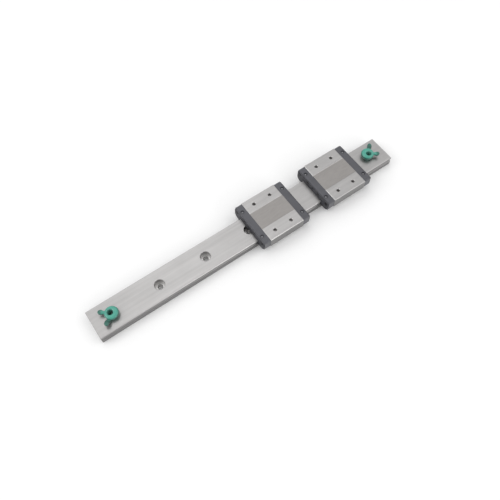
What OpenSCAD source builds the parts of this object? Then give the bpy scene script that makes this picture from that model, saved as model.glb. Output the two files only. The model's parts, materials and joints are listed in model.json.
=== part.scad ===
// Wide miniature linear guide: one ground rail, two caged-ball carriages
// and two soft stops that keep the carriages on the rail.
// Millimetres. X runs along the rail, Y across it and Z up.
// The origin is the centre of the rail's bottom face.

/* [Rail] */
// Length of the rail
rail_length = 270; // [270:40:350]
// Width of the rail
rail_width = 24; // [23.8:0.1:24.2]
// Height of the rail
rail_height = 8.5; // [8.3:0.1:8.6]
// Distance between the rail's screw holes
hole_pitch = 40; // [30:5:60]
// Diameter of a screw hole in the rail
screw_hole_d = 4.5; // [3.5:0.1:4.5]
// Diameter of the recess for a screw head
counterbore_d = 8; // [7.5:0.1:9]
// Depth of the recess for a screw head
counterbore_depth = 4.5; // [3.5:0.1:5]

/* [Carriage] */
// Height from the rail's bottom face to the carriage's top face
carriage_height = 14; // [13.8:0.1:15]
// Width of the carriage
carriage_width = 40; // [39.6:0.1:42]
// Length over the two end seals
carriage_length = 44.5; // [44:0.1:46]
// Length of the steel block
block_length = 30.9; // [30:0.1:32]
// Gap between the bed and the carriage's underside
underside_z = 3; // [2.8:0.1:3.2]
// Distance between the tapped holes along the rail
tap_pitch_x = 15; // [12:0.5:18]
// Distance between the tapped holes across the rail
tap_pitch_y = 28; // [26:0.5:29]
// Tapping drill diameter of the top holes
tap_drill_d = 2.5; // [2:0.1:3]
// Depth of the tapped holes
tap_depth = 3.5; // [2.5:0.1:3.5]

/* [Rolling parts] */
// Diameter of a ball
ball_d = 2.38; // [2.3:0.01:2.38]
// Balls in each of the two loops
balls_per_loop = 27; // [20:1:27]

/* [Positions] */
// Centre of carriage A along the rail
carriage_a_x = 22; // [-90:0.5:30]
// Centre of carriage B along the rail
carriage_b_x = 83.5; // [76:0.5:92]

/* [Hidden] */
$fn = 48;
eps = 0.01;
// A cut runs this far past the face that it opens
over = 1;
// Half the length that a cut across the whole carriage has
cut_reach = 30;

// Ball loop: the loaded row, the return row and the half turns that join them
ball_row_y = rail_width / 2 + 0.3;
ball_row_z = 5.3;
turn_r = 2.4;
loop_y = ball_row_y + turn_r;
loop_length = 2 * block_length + 2 * PI * turn_r;
ball_step = loop_length / balls_per_loop;
groove_r = ball_d / 2 + 0.08;
return_r = 1.6;
slot_reach = 1.6;
slot_h = 0.7;

// Rail
rail_chamfer = 0.5;
rail_foot_chamfer = 0.3;
rail_end_chamfer = 0.4;
mouth_chamfer = 0.25;
hole_count = floor((rail_length - 20) / hole_pitch) + 1;
end_hole_x = (hole_count - 1) / 2 * hole_pitch;

// Carriage block
channel_half = rail_width / 2 + 0.4;
channel_top = rail_height + 0.5;
block_top_chamfer = 0.5;
block_bottom_chamfer = 2;
block_end_chamfer = 0.3;
land_inner_y = 7.8;
land_slope = 0.5;
top_relief = 0.25;
relief_r = 0.6;
tap_mouth_r = tap_drill_d / 2 + 0.4;
drill_tip_h = 0.7;

// End plate, seal and their screws
block_end = block_length / 2;
carriage_end = carriage_length / 2;
seal_core_t = 0.3;
seal_rubber_t = 0.7;
plate_t = carriage_end - block_end - seal_core_t - seal_rubber_t;
plate_end = block_end + plate_t;
plate_top = carriage_height - 0.4;
plate_half = carriage_width / 2 - 0.15;
plate_top_r = 1.1;
plate_bottom_r = 3.6;
plate_gap = 0.3;
seal_inset = 0.45;
core_inset = 0.8;
lip_gap = 0.12;
lip_ridge = 0.35;
lip_w = 0.9;
core_gap = 0.9;
dimple_x = 3.6;
dimple_y = 13.05;
dimple_r = 1.6;
dimple_depth = 0.9;
pip_r = 0.65;
grease_port_r = 1;
grease_port_z = 11.3;
grease_port_depth = 4;
screw_spots = [[17, 10.4], [6.6, 11.25]];
screw_r = 0.95;
screw_hole_r = 1;
screw_reach = 3.3;
head_r = 1.5;
head_pocket_r = 1.65;
cross_w = 0.45;
cross_l = 1.7;
cross_depth = 0.45;

// Turn guide: the inner half of the ball's turn
guide_half_h = 2;
guide_gap = 0.05;

// Ball cage: a flat band with a round window for each ball and a spacer between them
band_half_w = 1.45;
band_t = 0.5;
window_r = ball_d / 2 + 0.05;
spacer_r = 0.8;
spacer_l = 1.1;

// Soft stop: a sleeve in the counterbore, a round collar on the rail and two pull tabs.
// The collar sits off the screw hole's centre, away from the tabs.
stop_gap = 0.05;
stop_hole_r = 2.1;
stop_sleeve_r = counterbore_d / 2 - 0.12;
collar_shift = 0.9;
collar_turn = -40;
collar_bead_r = 1.6;
collar_bead_z = 3;
collar_mid_r = 3.8;
collar_dish_h = 4.45;
collar_foot_r = 4.6;
collar_waist = [5, 2.4];
tab_lift = 1.8;
tab_t = 2.2;
tab_neck = 2.8;
tab_tip = 3.8;
tab_angles = [143, 232];
tab_reach = [8.6, 10.4];

// A half outline, given for positive Y, joined to its mirror image
function both_sides(half) =
    concat(half, [for (i = [len(half) - 1 : -1 : 0]) [-half[i][0], half[i][1]]]);

// Centre of the ball that lies at distance s along the loop: [x, y, heading]
function loop_point(s) =
    let (turn = PI * turn_r)
    s < block_length ? [s - block_end, ball_row_y, 0]
    : s < block_length + turn ?
        let (a = (s - block_length) / turn * 180 - 90)
        [block_end + turn_r * cos(a), loop_y + turn_r * sin(a), a + 90]
    : s < 2 * block_length + turn ?
        [block_end - (s - block_length - turn), loop_y + turn_r, 180]
    :   let (a = (s - 2 * block_length - turn) / turn * 180 + 90)
        [-block_end + turn_r * cos(a), loop_y + turn_r * sin(a), a + 90];

// Extrudes an outline drawn as [y, z] from x0 to x1
module along_x(x0, x1) {
    translate([x0, 0, 0])
        rotate([90, 0, 90])
            linear_extrude(x1 - x0) children();
}

// Repeats its children on both sides of the XZ plane
module near_and_far() {
    children();
    mirror([0, 1, 0]) children();
}

// Builds the right-hand end of a carriage, or its mirror image for the left-hand end
module at_end(side) {
    if (side > 0) children();
    else mirror([1, 0, 0]) children();
}

// Rail outline without its ball grooves, grown by gap on every side but the bottom
module rail_outline(gap) {
    half = rail_width / 2 + gap;
    top = rail_height + gap;
    polygon(both_sides([
        [half - rail_chamfer, top], [half, top - rail_chamfer], [half, 0]
    ]));
}

// Rail outline with its ball grooves, grown by gap
module rail_section(gap) {
    difference() {
        rail_outline(gap);
        for (side = [-1, 1])
            translate([side * ball_row_y, ball_row_z]) circle(r = groove_r - gap);
    }
}

// Slots beside a ball row, for the edge of the ball cage
module cage_slots(reach) {
    for (side = [-1, 1])
        translate([side * (ball_row_y + reach / 2), ball_row_z])
            square([abs(reach), slot_h], center = true);
}

module rail_screw_hole() {
    translate([0, 0, -over]) cylinder(h = rail_height + 2 * over, d = screw_hole_d);
    translate([0, 0, rail_height - counterbore_depth])
        cylinder(h = counterbore_depth + over, d = counterbore_d);
    translate([0, 0, rail_height - mouth_chamfer])
        cylinder(h = mouth_chamfer + eps, d1 = counterbore_d,
                 d2 = counterbore_d + 2 * (mouth_chamfer + eps));
}

// A long prism that breaks an edge that runs across the rail, at 45 degrees
module edge_break(size, length) {
    rotate([90, 0, 0])
        rotate([0, 0, 45])
            cube([size * sqrt(2), size * sqrt(2), length], center = true);
}

module rail() {
    color([0.76, 0.75, 0.74])
    difference() {
        along_x(-rail_length / 2, rail_length / 2)
            difference() {
                rail_section(0);
                cage_slots(-slot_reach);
                for (side = [-1, 1])
                    translate([side * rail_width / 2, 0])
                        rotate(45) square(rail_foot_chamfer * sqrt(2), center = true);
            }
        for (i = [0 : hole_count - 1])
            translate([i * hole_pitch - end_hole_x, 0, 0]) rail_screw_hole();
        for (end = [-1, 1])
            for (z = [0, rail_height])
                translate([end * rail_length / 2, 0, z])
                    edge_break(rail_end_chamfer, rail_width + 2 * over);
    }
}

// Flat pull tab: a neck that widens to its tip, pointing along +X
module stop_tab(reach) {
    translate([0, 0, rail_height + stop_gap + tab_lift])
        linear_extrude(tab_t)
            polygon([
                [stop_hole_r + 1, -tab_neck / 2], [reach - 1.5, -tab_tip / 2],
                [reach, -tab_tip / 2 + 0.8], [reach, tab_tip / 2 - 0.8],
                [reach - 1.5, tab_tip / 2], [stop_hole_r + 1, tab_neck / 2]
            ]);
}

module stop_collar() {
    rotate_extrude() {
        translate([collar_mid_r, collar_bead_z]) circle(r = collar_bead_r);
        polygon([
            [0, 0], [collar_foot_r, 0], collar_waist,
            [collar_mid_r, collar_dish_h], [0, collar_dish_h]
        ]);
    }
}

module rail_stop(side) {
    seat = rail_height + stop_gap;
    color([0.20, 0.58, 0.49])
    translate([side * end_hole_x, 0, 0])
    rotate([0, 0, side < 0 ? 0 : 180])
    difference() {
        union() {
            rotate([0, 0, collar_turn]) translate([collar_shift, 0, seat]) stop_collar();
            translate([0, 0, seat + stop_gap - counterbore_depth])
                cylinder(h = counterbore_depth + collar_bead_z, r = stop_sleeve_r);
            for (i = [0, 1]) rotate([0, 0, tab_angles[i]]) stop_tab(tab_reach[i]);
        }
        cylinder(h = 2 * carriage_height, r = stop_hole_r);
    }
}

// Steel block section: two raised lands on top, and a channel for the rail below
module block_section() {
    half = carriage_width / 2;
    difference() {
        polygon(both_sides([
            [land_inner_y, carriage_height - top_relief],
            [land_inner_y + land_slope, carriage_height],
            [half - block_top_chamfer, carriage_height],
            [half, carriage_height - block_top_chamfer],
            [half, underside_z + block_bottom_chamfer],
            [half - block_bottom_chamfer, underside_z]
        ]));
        translate([-channel_half, 0]) square([2 * channel_half, channel_top]);
        for (side = [-1, 1]) {
            translate([side * channel_half, channel_top]) circle(r = relief_r);
            translate([side * ball_row_y, ball_row_z]) circle(r = groove_r);
            translate([side * (ball_row_y + 2 * turn_r), ball_row_z]) circle(r = return_r);
        }
        cage_slots(slot_reach);
    }
}

module tapped_hole() {
    translate([0, 0, -tap_depth]) cylinder(h = tap_depth + over, d = tap_drill_d);
    translate([0, 0, tap_drill_d / 2 - tap_mouth_r])
        cylinder(h = tap_mouth_r - tap_drill_d / 2 + eps, r1 = tap_drill_d / 2,
                 r2 = tap_mouth_r + eps);
    translate([0, 0, -tap_depth - drill_tip_h])
        cylinder(h = drill_tip_h + eps, r1 = 0.05, r2 = tap_drill_d / 2);
}

module block() {
    color([0.74, 0.73, 0.71])
    difference() {
        along_x(-block_end, block_end) block_section();
        for (x = [-1, 1])
            for (y = [-1, 1])
                translate([x * tap_pitch_x / 2, y * tap_pitch_y / 2, carriage_height])
                    tapped_hole();
        for (end = [-1, 1]) {
            translate([end * block_end, 0, carriage_height])
                edge_break(block_end_chamfer, 2 * cut_reach);
            for (spot = screw_spots)
                for (side = [-1, 1])
                    translate([end * (block_end - screw_reach - 0.4), side * spot[0], spot[1]])
                        rotate([0, end * 90, 0])
                            cylinder(h = screw_reach + over, r = screw_hole_r);
        }
    }
}

// Outline with one radius on its two top corners and another on its two bottom corners
module rounded_outline(half, z0, z1, top_r, bottom_r) {
    translate([-half, z0 + bottom_r]) square([2 * half, z1 - top_r - z0 - bottom_r]);
    translate([top_r - half, z1 - top_r - eps])
        square([2 * (half - top_r), top_r + eps]);
    translate([bottom_r - half, z0]) square([2 * (half - bottom_r), bottom_r + eps]);
    for (side = [-1, 1]) {
        translate([side * (half - top_r), z1 - top_r]) circle(r = top_r);
        translate([side * (half - bottom_r), z0 + bottom_r]) circle(r = bottom_r);
    }
}

// End face outline, drawn in by inset
module end_outline(inset) {
    rounded_outline(plate_half - inset, underside_z + inset, plate_top - inset,
                    plate_top_r, plate_bottom_r);
}

// Holes for the four screws, from x0 to x1
module screw_holes(x0, x1, r) {
    for (spot = screw_spots)
        for (side = [-1, 1])
            translate([x0, side * spot[0], spot[1]])
                rotate([0, 90, 0]) cylinder(h = x1 - x0, r = r);
}

module grease_port(x0, x1) {
    translate([x0, 0, grease_port_z]) rotate([0, 90, 0]) cylinder(h = x1 - x0, r = grease_port_r);
}

// Space for the balls and the turn guide at one end of one loop
module turn_space() {
    translate([block_end, loop_y, ball_row_z]) {
        rotate_extrude() translate([turn_r, 0]) circle(r = return_r);
        cylinder(h = 2 * (guide_half_h + guide_gap), r = turn_r, center = true);
    }
}

module end_plate(side) {
    color([0.25, 0.25, 0.27])
    at_end(side)
    difference() {
        along_x(block_end, plate_end)
            difference() {
                end_outline(0);
                rail_section(plate_gap);
            }
        near_and_far() turn_space();
        near_and_far()
            translate([block_end + dimple_x, dimple_y, plate_top - dimple_depth])
                difference() {
                    cylinder(h = dimple_depth + over, r = dimple_r);
                    sphere(r = pip_r);
                }
        screw_holes(block_end - over, plate_end + over, screw_hole_r);
        grease_port(plate_end + seal_core_t + seal_rubber_t - grease_port_depth, carriage_end);
    }
}

module turn_guides(side) {
    color([0.90, 0.89, 0.84])
    at_end(side)
    near_and_far()
        translate([block_end, loop_y, ball_row_z])
            difference() {
                cylinder(h = 2 * guide_half_h, r = turn_r - guide_gap, center = true);
                rotate_extrude() translate([turn_r, 0]) circle(r = return_r);
                translate([-cut_reach, 0, 0]) cube(2 * cut_reach, center = true);
            }
}

module seal_core(side) {
    color([0.55, 0.56, 0.57])
    at_end(side)
    difference() {
        along_x(plate_end, plate_end + seal_core_t)
            difference() {
                end_outline(core_inset);
                rail_outline(core_gap);
            }
        screw_holes(plate_end - over, plate_end + over, screw_hole_r);
        grease_port(plate_end - over, carriage_end);
    }
}

// Rubber face of the end seal: a flat sheet with a raised lip along the rail's section
module end_seal(side) {
    face = plate_end + seal_core_t;
    color([0.13, 0.13, 0.14])
    at_end(side)
    difference() {
        union() {
            along_x(face, face + seal_rubber_t - lip_ridge)
                difference() {
                    end_outline(seal_inset);
                    rail_section(lip_gap);
                }
            along_x(face + seal_rubber_t - lip_ridge, face + seal_rubber_t)
                difference() {
                    intersection() {
                        end_outline(seal_inset);
                        rail_outline(lip_gap + lip_w);
                    }
                    rail_section(lip_gap);
                }
        }
        screw_holes(face - over, carriage_end + over, head_pocket_r);
        grease_port(face - over, carriage_end + over);
    }
}

// Low-head cross-recess screw, pointing along -X with its head at the origin
module plate_screw() {
    length = plate_t + seal_core_t + screw_reach;
    rotate([0, -90, 0]) cylinder(h = length, r = screw_r);
    difference() {
        rotate([0, 90, 0]) cylinder(h = seal_rubber_t - 0.1, r = head_r);
        for (turn = [45, 135])
            translate([seal_rubber_t, 0, 0])
                rotate([turn, 0, 0]) cube([2 * cross_depth, cross_l, cross_w], center = true);
    }
}

module screws(side) {
    color([0.16, 0.16, 0.17])
    at_end(side)
    near_and_far()
        for (spot = screw_spots)
            translate([plate_end + seal_core_t, spot[0], spot[1]]) plate_screw();
}

// Puts its children at every step along the loop, turned to its heading
module around_loop(offset_steps) {
    for (i = [0 : balls_per_loop - 1]) {
        p = loop_point((i + offset_steps) * ball_step);
        translate([p[0], p[1], ball_row_z]) rotate([0, 0, p[2]]) children();
    }
}

// Turns a loop drawn for positive Y into the loop of that side
module on_side(side) {
    if (side > 0) children();
    else mirror([0, 1, 0]) children();
}

module balls(side) {
    color([0.85, 0.85, 0.86])
    on_side(side) around_loop(0.5) sphere(d = ball_d);
}

// Racetrack outline at distance r from the loop's long centre line
module racetrack(r) {
    translate([0, loop_y]) {
        square([block_length, 2 * r], center = true);
        for (end = [-1, 1]) translate([end * block_end, 0]) circle(r = r);
    }
}

module ball_cage(side) {
    color([0.93, 0.92, 0.86])
    on_side(side)
        difference() {
            union() {
                translate([0, 0, ball_row_z - band_t / 2])
                    linear_extrude(band_t)
                        difference() {
                            racetrack(turn_r + band_half_w);
                            racetrack(turn_r - band_half_w);
                        }
                around_loop(0)
                    rotate([0, 90, 0]) cylinder(h = spacer_l, r = spacer_r, center = true);
            }
            around_loop(0.5) sphere(r = window_r);
        }
}

// Moves a carriage's part from the origin to its place on the rail
module on_rail(x) {
    translate([x, 0, 0]) children();
}

rail();
rail_stop(-1);  // rail_stop_left
rail_stop(1);  // rail_stop_right
on_rail(carriage_a_x) block();  // carriage_a_block
on_rail(carriage_a_x) end_plate(-1);  // carriage_a_end_plate_left
on_rail(carriage_a_x) end_plate(1);  // carriage_a_end_plate_right
on_rail(carriage_a_x) turn_guides(-1);  // carriage_a_turn_guides_left
on_rail(carriage_a_x) turn_guides(1);  // carriage_a_turn_guides_right
on_rail(carriage_a_x) seal_core(-1);  // carriage_a_seal_core_left
on_rail(carriage_a_x) seal_core(1);  // carriage_a_seal_core_right
on_rail(carriage_a_x) end_seal(-1);  // carriage_a_end_seal_left
on_rail(carriage_a_x) end_seal(1);  // carriage_a_end_seal_right
on_rail(carriage_a_x) screws(-1);  // carriage_a_screws_left
on_rail(carriage_a_x) screws(1);  // carriage_a_screws_right
on_rail(carriage_a_x) balls(-1);  // carriage_a_balls_near
on_rail(carriage_a_x) balls(1);  // carriage_a_balls_far
on_rail(carriage_a_x) ball_cage(-1);  // carriage_a_ball_cage_near
on_rail(carriage_a_x) ball_cage(1);  // carriage_a_ball_cage_far
on_rail(carriage_b_x) block();  // carriage_b_block
on_rail(carriage_b_x) end_plate(-1);  // carriage_b_end_plate_left
on_rail(carriage_b_x) end_plate(1);  // carriage_b_end_plate_right
on_rail(carriage_b_x) turn_guides(-1);  // carriage_b_turn_guides_left
on_rail(carriage_b_x) turn_guides(1);  // carriage_b_turn_guides_right
on_rail(carriage_b_x) seal_core(-1);  // carriage_b_seal_core_left
on_rail(carriage_b_x) seal_core(1);  // carriage_b_seal_core_right
on_rail(carriage_b_x) end_seal(-1);  // carriage_b_end_seal_left
on_rail(carriage_b_x) end_seal(1);  // carriage_b_end_seal_right
on_rail(carriage_b_x) screws(-1);  // carriage_b_screws_left
on_rail(carriage_b_x) screws(1);  // carriage_b_screws_right
on_rail(carriage_b_x) balls(-1);  // carriage_b_balls_near
on_rail(carriage_b_x) balls(1);  // carriage_b_balls_far
on_rail(carriage_b_x) ball_cage(-1);  // carriage_b_ball_cage_near
on_rail(carriage_b_x) ball_cage(1);  // carriage_b_ball_cage_far
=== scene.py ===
"""Looks for a wide miniature linear guide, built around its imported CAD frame.

Every length is in metres in the frame: X runs along the rail, Y across it and Z up from the
rail's bottom face. Places come from the CAD nodes' boxes or repeat a value of the part's source.
"""

import json
import math

import bmesh
import bpy
from mathutils import Matrix, Vector


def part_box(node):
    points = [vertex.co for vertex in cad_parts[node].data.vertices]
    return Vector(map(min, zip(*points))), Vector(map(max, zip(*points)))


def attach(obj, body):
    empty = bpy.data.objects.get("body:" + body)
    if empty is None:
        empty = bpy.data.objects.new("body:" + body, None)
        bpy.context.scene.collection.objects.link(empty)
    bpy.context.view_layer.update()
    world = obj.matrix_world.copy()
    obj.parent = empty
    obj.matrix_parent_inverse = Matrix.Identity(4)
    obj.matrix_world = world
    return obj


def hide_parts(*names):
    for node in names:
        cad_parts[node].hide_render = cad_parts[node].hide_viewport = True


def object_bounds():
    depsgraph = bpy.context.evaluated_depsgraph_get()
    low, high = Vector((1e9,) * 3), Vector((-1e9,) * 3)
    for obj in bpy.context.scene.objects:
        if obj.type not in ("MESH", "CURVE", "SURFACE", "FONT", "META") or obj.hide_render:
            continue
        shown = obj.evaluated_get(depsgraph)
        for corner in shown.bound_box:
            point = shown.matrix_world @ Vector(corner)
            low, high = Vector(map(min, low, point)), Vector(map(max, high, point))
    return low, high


MM = 0.001
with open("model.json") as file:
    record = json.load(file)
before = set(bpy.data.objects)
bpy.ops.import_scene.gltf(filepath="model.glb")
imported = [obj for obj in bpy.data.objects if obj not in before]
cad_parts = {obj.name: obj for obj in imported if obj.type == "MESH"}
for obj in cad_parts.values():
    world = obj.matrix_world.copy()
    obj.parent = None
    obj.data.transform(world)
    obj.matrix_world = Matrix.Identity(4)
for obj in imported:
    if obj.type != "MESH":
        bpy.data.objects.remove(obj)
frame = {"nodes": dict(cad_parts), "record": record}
nodes = frame["nodes"]
cad_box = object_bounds()

# ---------------------------------------------------------------- places and colours

RAIL_END, RAIL_HALF, RAIL_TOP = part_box("rail")[1]
BLOCK_HALF, BLOCK_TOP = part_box("carriage_a_block")[1].yz
BLOCK_A_LOW, BLOCK_A_HIGH = (corner.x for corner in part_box("carriage_a_block"))
BLOCK_B_LOW, BLOCK_B_HIGH = (corner.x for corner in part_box("carriage_b_block"))

# Middle of carriage B, and the middle between the two carriages
CARRIAGE_B_X = (BLOCK_B_LOW + BLOCK_B_HIGH) / 2
MIDDLE_X = (CARRIAGE_B_X + (BLOCK_A_LOW + BLOCK_A_HIGH) / 2) / 2

# Middle of the last screw hole, the height that parts a screw hole's wide upper bore from its
# narrow lower one, and a half width that takes in the wide bore
END_HOLE_X = RAIL_END - 15 * MM
HOLE_STEP = 4.15 * MM
HOLE_HALF = 4.4 * MM

# Half width of the darker band on a block's top
BAND_HALF = 8.05 * MM

# How far below the top the painted shade on the long sides starts, and the share of the top's tone
# that it keeps
SIDE_SHADE_DROP = 0.55 * MM
SIDE_SHADE_SHARE = 0.55

# Middle of an end plate's round recess, from the carriage's middle, and its pip's radius
RECESS_X = (BLOCK_B_HIGH - BLOCK_B_LOW) / 2 + 3.6 * MM
RECESS_Y = 13.05 * MM
PIP_R = 0.67 * MM

GROUND_STEEL = (0.50, 0.491, 0.487)
BAND_COLOUR = (0.35, 0.332, 0.320)
# Painted light low in the rail's screw holes, and painted shade on their walls above
HOLE_FLOOR_LIGHT = (0.68, 0.67, 0.66)
HOLE_WALL_SHADE = (0.34, 0.335, 0.33)
SEAL_CORE_COLOUR = (0.42, 0.42, 0.43)
SCREW_COLOUR = (0.060, 0.060, 0.065)
BALL_COLOUR = (0.70, 0.70, 0.72)
PLATE_COLOUR = (0.068, 0.069, 0.080)
# Painted glint on the pip in each end-plate recess
PIP_GLINT_COLOUR = (0.26, 0.26, 0.275)
SEAL_COLOUR = (0.050, 0.050, 0.058)
GUIDE_COLOUR = (0.72, 0.70, 0.62)
CAGE_COLOUR = (0.80, 0.78, 0.70)
STOP_COLOUR = (0.050, 0.33, 0.25)
# Painted light in the soft stop's bore
BORE_LIGHT_COLOUR = (0.12, 0.36, 0.30)


# ---------------------------------------------------------------- materials


class Shader:
    """A node material with a Principled shader, and short calls that add its texture nodes."""

    def __init__(self, name, **sockets):
        self.material = bpy.data.materials.new(name)
        self.material.use_nodes = True
        self.tree = self.material.node_tree
        self.surface = self.tree.nodes["Principled BSDF"]
        for socket, value in sockets.items():
            self.surface.inputs[socket.replace("_", " ")].default_value = value
        self.place = self.node("ShaderNodeTexCoord").outputs["Object"]

    def node(self, kind, **settings):
        made = self.tree.nodes.new(kind)
        for key, value in settings.items():
            setattr(made, key, value)
        return made

    def link(self, source, target):
        self.tree.links.new(source, target)

    def noise(self, scale, detail=3.0, roughness=0.55):
        """Noise over the object. scale is the number of features per metre along X, Y and Z."""
        mapping = self.node("ShaderNodeMapping")
        mapping.inputs["Scale"].default_value = scale
        self.link(self.place, mapping.inputs["Vector"])
        texture = self.node("ShaderNodeTexNoise")
        texture.inputs["Scale"].default_value = 1.0
        texture.inputs["Detail"].default_value = detail
        texture.inputs["Roughness"].default_value = roughness
        self.link(mapping.outputs["Vector"], texture.inputs["Vector"])
        return texture.outputs["Fac"]

    def axis(self, name):
        """One coordinate of the frame, in metres."""
        split = self.node("ShaderNodeSeparateXYZ")
        self.link(self.place, split.inputs["Vector"])
        return split.outputs[name]

    def math(self, operation, a, b=0.0):
        """One sum on numbers or sockets."""
        made = self.node("ShaderNodeMath", operation=operation)
        for socket, value in zip(made.inputs, (a, b)):
            if isinstance(value, (int, float)):
                socket.default_value = value
            else:
                self.link(value, socket)
        return made.outputs["Value"]

    def distance(self, name, middle=0.0):
        """How far a coordinate of the frame is from middle, either way."""
        return self.math("ABSOLUTE", self.math("SUBTRACT", self.axis(name), middle))

    def radius(self, along, across):
        """Straight distance from two distances that are square to each other."""
        squares = [self.math("MULTIPLY", side, side) for side in (along, across)]
        return self.math("SQRT", self.math("ADD", *squares))

    def both(self, first, second):
        """The part that two masks share."""
        return self.math("MULTIPLY", first, second)

    def ramp(self, factor, *stops):
        """Colours or greys between stops, each given as (position, grey or colour)."""
        made = self.node("ShaderNodeValToRGB")
        elements = made.color_ramp.elements
        while len(elements) < len(stops):
            elements.new(0.5)
        for element, (position, value) in zip(elements, stops):
            element.position = position
            colour = value if isinstance(value, tuple) else (value,) * 3
            element.color = (*colour, 1.0)
        self.link(factor, made.inputs["Fac"])
        return made.outputs["Color"]

    def between(self, value, low, high):
        """0 where value is under low, 1 where it is over high, and a straight line between."""
        made = self.node("ShaderNodeMapRange")
        made.inputs["From Min"].default_value = low
        made.inputs["From Max"].default_value = high
        self.link(value, made.inputs["Value"])
        return made.outputs["Result"]

    def mix(self, factor, a, b, blend="MIX"):
        """Colour a where factor is 0 and b, or their blend, where it is 1."""
        made = self.node("ShaderNodeMix", data_type="RGBA", blend_type=blend)
        ends = {"Factor_Float": factor, "A_Color": a, "B_Color": b}
        for socket in made.inputs:
            if socket.identifier not in ends:
                continue
            value = ends[socket.identifier]
            if isinstance(value, tuple):
                socket.default_value = (*value, 1.0)
            elif isinstance(value, (int, float)):
                socket.default_value = value
            else:
                self.link(value, socket)
        return next(o for o in made.outputs if o.identifier == "Result_Color")

    def times(self, a, b):
        """Colour a deepened by colour b."""
        return self.mix(1.0, a, b, "MULTIPLY")

    def bump(self, height, depth, strength=1.0):
        made = self.node("ShaderNodeBump")
        made.inputs["Distance"].default_value = depth
        made.inputs["Strength"].default_value = strength
        self.link(height, made.inputs["Height"])
        self.link(made.outputs["Normal"], self.surface.inputs["Normal"])

    def paint(self, colour, roughness=None):
        self.link(colour, self.surface.inputs["Base Color"])
        if roughness is not None:
            self.link(roughness, self.surface.inputs["Roughness"])


def scaled(colour, share):
    return tuple(channel * share for channel in colour)


def ground_steel(name, colour):
    """Steel ground along the rail: fine lines along X, under soft and cloudy streaks."""
    steel = Shader(name, Metallic=1.0)
    lines = steel.noise((25, 5200, 5200), detail=4, roughness=0.65)
    streaks = steel.noise((9, 420, 420), detail=3)
    clouds = steel.noise((55, 80, 80), detail=4, roughness=0.6)
    tint = steel.ramp(streaks, (0.25, scaled(colour, 0.90)), (0.75, scaled(colour, 1.06)))
    tint = steel.times(tint, steel.ramp(clouds, (0.30, 0.93), (0.70, 1.0)))
    rough = steel.ramp(lines, (0.30, 0.30), (0.70, 0.46))
    steel.bump(lines, 0.012 * MM, 0.5)
    return steel, tint, rough


def paint_side_shade(steel, tint, side_y, top_z):
    """Paints shade on the two long sides, which lie past side_y and below top_z, by deepening
    their tone.
    """
    beside = steel.between(steel.distance("Y"), side_y, side_y + 0.1 * MM)
    below = steel.between(steel.axis("Z"), top_z, top_z - 0.2 * MM)
    return steel.mix(steel.both(beside, below), tint, steel.times(tint, (SIDE_SHADE_SHARE,) * 3))


def paint_hole_light_and_shade(steel, tint):
    """Paints light and shade in the screw holes: lifts the tone low in them as painted light, and
    deepens the walls above, where the screw heads sit, as painted shade."""
    height = steel.axis("Z")
    inside = steel.both(
        steel.between(steel.distance("Y"), HOLE_HALF + 0.1 * MM, HOLE_HALF - 0.1 * MM),
        steel.between(steel.distance("X"), RAIL_END - 0.2 * MM, RAIL_END - 0.4 * MM))
    low = steel.both(
        steel.between(height, HOLE_STEP + 0.05 * MM, HOLE_STEP - 0.05 * MM),
        steel.between(height, 0.05 * MM, 0.15 * MM))
    wall = steel.both(
        steel.between(height, HOLE_STEP - 0.05 * MM, HOLE_STEP + 0.05 * MM),
        steel.between(height, RAIL_TOP - 0.1 * MM, RAIL_TOP - 0.3 * MM))
    tint = steel.mix(steel.both(inside, low), tint, HOLE_FLOOR_LIGHT)
    return steel.mix(steel.both(inside, wall), tint, HOLE_WALL_SHADE)


def rail_steel():
    steel, tint, rough = ground_steel("rail_steel", GROUND_STEEL)
    # Painted shade on the rail's long sides
    tint = paint_side_shade(steel, tint, RAIL_HALF - 0.9 * MM, RAIL_TOP - SIDE_SHADE_DROP)
    # Painted light and shade in the rail's screw holes
    steel.paint(paint_hole_light_and_shade(steel, tint), rough)
    return steel.material


def block_steel():
    """Ground lands and sides, and a darker, warmer band where the top is relieved."""
    steel, tint, rough = ground_steel("block_steel", GROUND_STEEL)
    mask = steel.both(
        steel.between(steel.distance("Y"), BAND_HALF + 0.15 * MM, BAND_HALF - 0.15 * MM),
        steel.between(steel.axis("Z"), BLOCK_TOP - 0.6 * MM, BLOCK_TOP - 0.2 * MM))
    grain = steel.noise((160, 900, 900), detail=5, roughness=0.7)
    band = steel.ramp(grain, (0.30, scaled(BAND_COLOUR, 0.86)), (0.70, scaled(BAND_COLOUR, 1.08)))
    dull = steel.ramp(grain, (0.30, 0.46), (0.70, 0.60))
    # Painted shade on the block's long sides
    tint = paint_side_shade(steel, tint, BLOCK_HALF - 0.2 * MM, BLOCK_TOP - SIDE_SHADE_DROP)
    steel.paint(steel.mix(mask, tint, band), steel.mix(mask, rough, dull))
    return steel.material


def polished_steel(name, colour, low, high, grain=1800):
    """Steel with faint handling marks, for the balls, screws and seal cores."""
    steel = Shader(name, Metallic=1.0)
    marks = steel.noise((grain,) * 3, detail=4, roughness=0.7)
    tint = steel.ramp(marks, (0.25, scaled(colour, 0.94)), (0.75, scaled(colour, 1.03)))
    steel.paint(tint, steel.ramp(marks, (0.25, low), (0.75, high)))
    steel.bump(marks, 0.004 * MM, 0.3)
    return steel.material


def moulding(name, colour, roughness, grain=2600, depth=0.02, coat=0.0):
    """A shader for resin or rubber, with a fine spark-eroded texture and a slight cloudiness."""
    resin = Shader(name, IOR=1.52, Coat_Weight=coat, Coat_Roughness=0.22)
    fine = resin.noise((grain,) * 3, detail=4, roughness=0.7)
    cloud = resin.noise((140, 140, 140), detail=4)
    tint = resin.ramp(cloud, (0.25, scaled(colour, 0.86)), (0.75, scaled(colour, 1.14)))
    rough = resin.ramp(fine, (0.25, roughness - 0.07), (0.75, roughness + 0.07))
    resin.bump(fine, depth * MM, 0.6)
    resin.paint(tint, rough)
    return resin, tint


def moulded(*look, **settings):
    """The material of a moulding that needs no more paint."""
    return moulding(*look, **settings)[0].material


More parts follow.
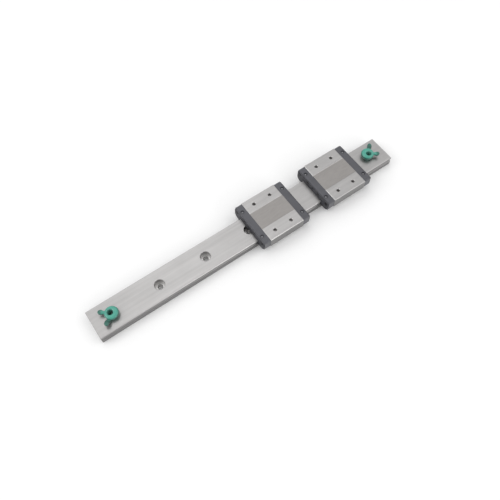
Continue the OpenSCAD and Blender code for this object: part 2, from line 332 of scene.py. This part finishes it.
def plate_resin():
    """The end plates' resin, with a painted glint: the small pip in each round recess on top is
    paler.
    """
    resin, tint = moulding("end_plate_resin", PLATE_COLOUR, 0.48, coat=0.35)
    to_carriage = resin.math("SUBTRACT", resin.distance("X", MIDDLE_X), CARRIAGE_B_X - MIDDLE_X)
    along = resin.math("SUBTRACT", resin.math("ABSOLUTE", to_carriage), RECESS_X)
    across = resin.math("SUBTRACT", resin.distance("Y"), RECESS_Y)
    # Painted glint on each recess's pip
    pip = resin.between(resin.radius(along, across), PIP_R + 0.05 * MM, PIP_R - 0.05 * MM)
    resin.paint(resin.mix(pip, tint, PIP_GLINT_COLOUR))
    return resin.material


def stop_rubber():
    """Soft coloured moulding with a slight sheen. Shade is painted on its outer slopes and on its
    tails, which are deeper in tone than its crown, and light is painted in its bore, which is
    paler."""
    rubber = Shader(
        "stop_rubber", IOR=1.48, Coat_Weight=0.6, Coat_Roughness=0.18, Subsurface_Weight=0.12,
        Subsurface_Radius=(0.3, 1.0, 0.8), Subsurface_Scale=0.8 * MM)
    cloud = rubber.noise((260, 260, 260), detail=4, roughness=0.6)
    fine = rubber.noise((3200, 3200, 3200), detail=3)
    tint = rubber.ramp(cloud, (0.25, scaled(STOP_COLOUR, 0.88)), (0.75, scaled(STOP_COLOUR, 1.10)))
    # Painted shade: the outer slopes below the crown are deeper in tone
    height = rubber.between(rubber.axis("Z"), 11.0 * MM, 13.1 * MM)
    slope_shade = rubber.ramp(height, (0.0, 0.34), (0.55, 0.52), (0.95, 1.0))
    along = rubber.math("SUBTRACT", rubber.distance("X"), END_HOLE_X)
    reach = rubber.radius(along, rubber.axis("Y"))
    # Painted shade on the tails, deeper towards their tips
    tail = rubber.ramp(rubber.between(reach, 5.0 * MM, 8.0 * MM), (0.1, 1.0), (0.7, 0.42))
    outer = rubber.times(rubber.times(tint, slope_shade), tail)
    # Painted light in the bore
    tint = rubber.mix(rubber.between(reach, 2.7 * MM, 2.3 * MM), outer, BORE_LIGHT_COLOUR)
    rough = rubber.ramp(cloud, (0.25, 0.26), (0.75, 0.38))
    rubber.bump(fine, 0.010 * MM, 0.4)
    rubber.paint(tint, rough)
    return rubber.material


materials = {
    "rail_steel": rail_steel(),
    "block_steel": block_steel(),
    "end_plate_resin": plate_resin(),
    "turn_guide_resin": moulded("turn_guide_resin", GUIDE_COLOUR, 0.42),
    "seal_core_steel": polished_steel("seal_core_steel", SEAL_CORE_COLOUR, 0.32, 0.46),
    "seal_rubber": moulded("seal_rubber", SEAL_COLOUR, 0.62, grain=3600, depth=0.015),
    "screw_steel": polished_steel("screw_steel", SCREW_COLOUR, 0.30, 0.42),
    "ball_steel": polished_steel("ball_steel", BALL_COLOUR, 0.04, 0.10, grain=900),
    "cage_resin": moulded("cage_resin", CAGE_COLOUR, 0.38),
    "stop_rubber": stop_rubber(),
}


def dress(piece, slot):
    """Gives a CAD node or a new piece the material of one of the record's slots."""
    piece.data.materials.clear()
    piece.data.materials.append(materials[slot])


for entry in frame["record"]["subparts"]:
    dress(nodes[entry["node"]], entry["material_slot"])


# ---------------------------------------------------------------- soft stops

RING_POINTS = 72
TAIL_POINTS = 24
SLEEVE_R = 3.80 * MM
SLEEVE_FOOT = 4.15 * MM
COLLAR_FOOT = 8.64 * MM
COLLAR_R = 5.35 * MM
COLLAR_SHIFT = Vector((0.69, -0.78)) * MM
BORE_R = 2.1 * MM

# A tail's slices are ovals at 1 and go squarer below it
TAIL_SQUARENESS = 0.7

# Size of the cells that join the stop's skins, and the passes that round its edges
SKIN_GRAIN = 0.16 * MM
SMOOTH_PASSES = 4

# Radius, height and share of the collar's shift for each ring, from the bore's foot round the
# crown to the sleeve's foot
STOP_PROFILE = [
    (BORE_R, SLEEVE_FOOT, 0.0),
    (BORE_R, 12.30 * MM, 0.0),
    (BORE_R + 0.25 * MM, 12.80 * MM, 0.15),
    (BORE_R + 0.75 * MM, 13.10 * MM, 0.35),
    (3.70 * MM, 13.15 * MM, 0.8),
    (4.50 * MM, 12.90 * MM, 1.0),
    (5.10 * MM, 12.35 * MM, 1.0),
    (COLLAR_R, 11.55 * MM, 1.0),
    (5.20 * MM, 10.75 * MM, 1.0),
    (4.85 * MM, 10.10 * MM, 1.0),
    (4.60 * MM, 9.20 * MM, 1.0),
    (4.55 * MM, COLLAR_FOOT, 1.0),
    (SLEEVE_R, COLLAR_FOOT, 0.0),
    (SLEEVE_R, SLEEVE_FOOT + 0.3 * MM, 0.0),
    (SLEEVE_R - 0.3 * MM, SLEEVE_FOOT, 0.0),
]

# Centre (x, y), height, half width and half thickness along each tail, from inside the collar
# to its tip
STOP_TAILS = [
    [
        (-2.8, 1.7, 11.7, 1.20, 1.10), (-3.8, 2.5, 11.7, 1.25, 1.10),
        (-4.6, 3.1, 11.8, 1.60, 1.15), (-5.4, 3.8, 11.9, 1.95, 1.15),
        (-6.1, 4.4, 12.1, 1.85, 1.00), (-6.7, 5.0, 12.3, 1.25, 0.75),
        (-7.0, 5.3, 12.5, 0.45, 0.40),
    ],
    [
        (-1.8, -2.6, 10.6, 1.40, 0.90), (-3.1, -3.8, 10.6, 1.45, 0.90),
        (-4.3, -4.6, 10.9, 1.75, 1.05), (-5.3, -5.4, 11.5, 2.00, 1.15),
        (-6.1, -6.3, 11.9, 1.85, 1.00), (-6.6, -7.2, 12.1, 1.25, 0.75),
        (-6.9, -7.7, 12.3, 0.45, 0.40),
    ],
]


def add_rings(mesh, rings, closed):
    """Skins a run of rings with quads. A closed run joins its last ring to its first."""
    made = [[mesh.verts.new(point) for point in ring] for ring in rings]
    runs = list(zip(made, made[1:]))
    if closed:
        runs.append((made[-1], made[0]))
    for low, high in runs:
        for i in range(len(low)):
            j = (i + 1) % len(low)
            mesh.faces.new((low[i], low[j], high[j], high[i]))
    if not closed:
        mesh.faces.new(tuple(reversed(made[0])))
        mesh.faces.new(tuple(made[-1]))


def collar_rings():
    """Rings round the sleeve and the collar."""
    rings = []
    for radius, height, share in STOP_PROFILE:
        ring = []
        for i in range(RING_POINTS):
            turn = math.tau * i / RING_POINTS
            ring.append((
                COLLAR_SHIFT.x * share + radius * math.cos(turn),
                COLLAR_SHIFT.y * share + radius * math.sin(turn),
                height,
            ))
        rings.append(ring)
    return rings


def tail_rings(path):
    """Round-edged slices along a tail, each square to the tail's run."""
    centres = [Vector((x, y, z)) * MM for x, y, z, _, _ in path]
    rings = []
    for i, (_, _, _, wide, thick) in enumerate(path):
        run = centres[min(i + 1, len(path) - 1)] - centres[max(i - 1, 0)]
        across = Vector((-run.y, run.x, 0)).normalized() * wide * MM
        up = Vector((0, 0, 1)) * thick * MM
        ring = []
        for k in range(TAIL_POINTS):
            turn = math.tau * k / TAIL_POINTS
            side, rise = (
                math.copysign(abs(part) ** TAIL_SQUARENESS, part)
                for part in (math.cos(turn), math.sin(turn)))
            ring.append(centres[i] + across * side + up * rise)
        rings.append(ring)
    return rings


def rough_stop():
    """The sleeve and collar and the two tails as closed skins that run into each other."""
    mesh = bmesh.new()
    add_rings(mesh, collar_rings(), closed=True)
    for path in STOP_TAILS:
        add_rings(mesh, tail_rings(path), closed=False)
    bmesh.ops.recalc_face_normals(mesh, faces=mesh.faces)
    rough = bpy.data.meshes.new("stop_rough")
    mesh.to_mesh(rough)
    mesh.free()
    return rough


def soften(stop):
    """Joins the skins of the stop into one and rounds its edges."""
    remesh = stop.modifiers.new("one_skin", "REMESH")
    remesh.mode = "VOXEL"
    remesh.voxel_size = SKIN_GRAIN
    smooth = stop.modifiers.new("soft_edges", "SMOOTH")
    smooth.factor = 0.5
    smooth.iterations = SMOOTH_PASSES
    shape = bpy.data.meshes.new_from_object(
        stop.evaluated_get(bpy.context.evaluated_depsgraph_get()))
    stop.modifiers.clear()
    rough = stop.data
    stop.data = shape
    bpy.data.meshes.remove(rough)
    shape.name = stop.name
    for face in shape.polygons:
        face.use_smooth = True


def make_stop(end, hole_x, turn):
    """One soft moulding, turned round the screw hole that it is plugged into."""
    stop = bpy.data.objects.new("soft_stop_" + end, rough_stop())
    bpy.context.scene.collection.objects.link(stop)
    soften(stop)
    stop.data.transform(Matrix.Translation((hole_x, 0, 0)) @ Matrix.Rotation(turn, 4, "Z"))
    dress(stop, "stop_rubber")
    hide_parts("rail_stop_" + end)
    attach(stop, "stop_" + end)


make_stop("left", -END_HOLE_X, 0.0)
make_stop("right", END_HOLE_X, math.pi)


# ---------------------------------------------------------------- camera, floor and light

CAMERA_AT = Vector((-0.1120, -0.1680, 0.3689))
CAMERA_AZIMUTH = math.radians(-33.81)
CAMERA_ELEVATION = math.radians(62.94)
CAMERA_ROLL = math.radians(-1.26)
CAMERA_LENS = 38.56

FLOOR_SIZE = 6.0
FLOOR_DROP = 0.02 * MM

# Place, size and watts of each lamp
LAMPS = {
    "key": ((-1.4, 0.5, 1.2), 1.2, 9.0),
    "sheen": ((0.18, 0.88, 1.77), 0.9, 2.0),
    "fill": ((1.2, -0.6, 1.2), 1.4, 5.0),
    "edge": ((0.38, -1.33, 0.57), 0.5, 1.8),
}
STUDIO_STRENGTH = 0.80


def make_camera():
    """The photograph's view: above the rail's left end, turned towards its right end."""
    level = math.cos(CAMERA_ELEVATION)
    back = Vector((
        math.sin(CAMERA_AZIMUTH) * level,
        -math.cos(CAMERA_AZIMUTH) * level,
        math.sin(CAMERA_ELEVATION),
    ))
    data = bpy.data.cameras.new("camera")
    data.lens = CAMERA_LENS
    data.sensor_width = 36.0
    data.clip_start = 0.01
    data.clip_end = 10.0
    camera = bpy.data.objects.new("camera", data)
    bpy.context.scene.collection.objects.link(camera)
    turn = (-back).to_track_quat("-Z", "Y").to_matrix()
    roll = Matrix.Rotation(CAMERA_ROLL, 3, "Z")
    camera.matrix_world = Matrix.Translation(CAMERA_AT) @ (turn @ roll).to_4x4()
    bpy.context.scene.camera = camera


def make_floor():
    """Pale paper, just clear of the rail's bottom face."""
    bpy.ops.mesh.primitive_plane_add(size=FLOOR_SIZE, location=(0, 0, cad_box[0].z - FLOOR_DROP))
    floor = bpy.context.object
    floor.name = "floor"
    paper = Shader("floor_paper", Roughness=0.9)
    fine = paper.noise((900, 900, 900), detail=3)
    paper.paint(paper.ramp(fine, (0.3, 0.94), (0.7, 0.96)))
    floor.data.materials.append(paper.material)


def make_lamp(name, at, size, watts):
    """A soft square lamp that faces the middle of the rail."""
    data = bpy.data.lights.new(name, "AREA")
    data.shape = "SQUARE"
    data.size = size
    data.energy = watts
    lamp = bpy.data.objects.new(name, data)
    bpy.context.scene.collection.objects.link(lamp)
    lamp.location = at
    lamp.rotation_mode = "QUATERNION"
    lamp.rotation_quaternion = (-Vector(at)).to_track_quat("-Z", "Y")


def make_light():
    world = bpy.data.worlds.new("studio")
    world.use_nodes = True
    background = world.node_tree.nodes["Background"]
    background.inputs["Color"].default_value = (1.0, 1.0, 1.0, 1.0)
    background.inputs["Strength"].default_value = STUDIO_STRENGTH
    bpy.context.scene.world = world
    for name, (at, size, watts) in LAMPS.items():
        make_lamp(name, at, size, watts)
    bpy.context.scene.view_settings.view_transform = "Standard"


make_camera()
make_floor()
make_light()
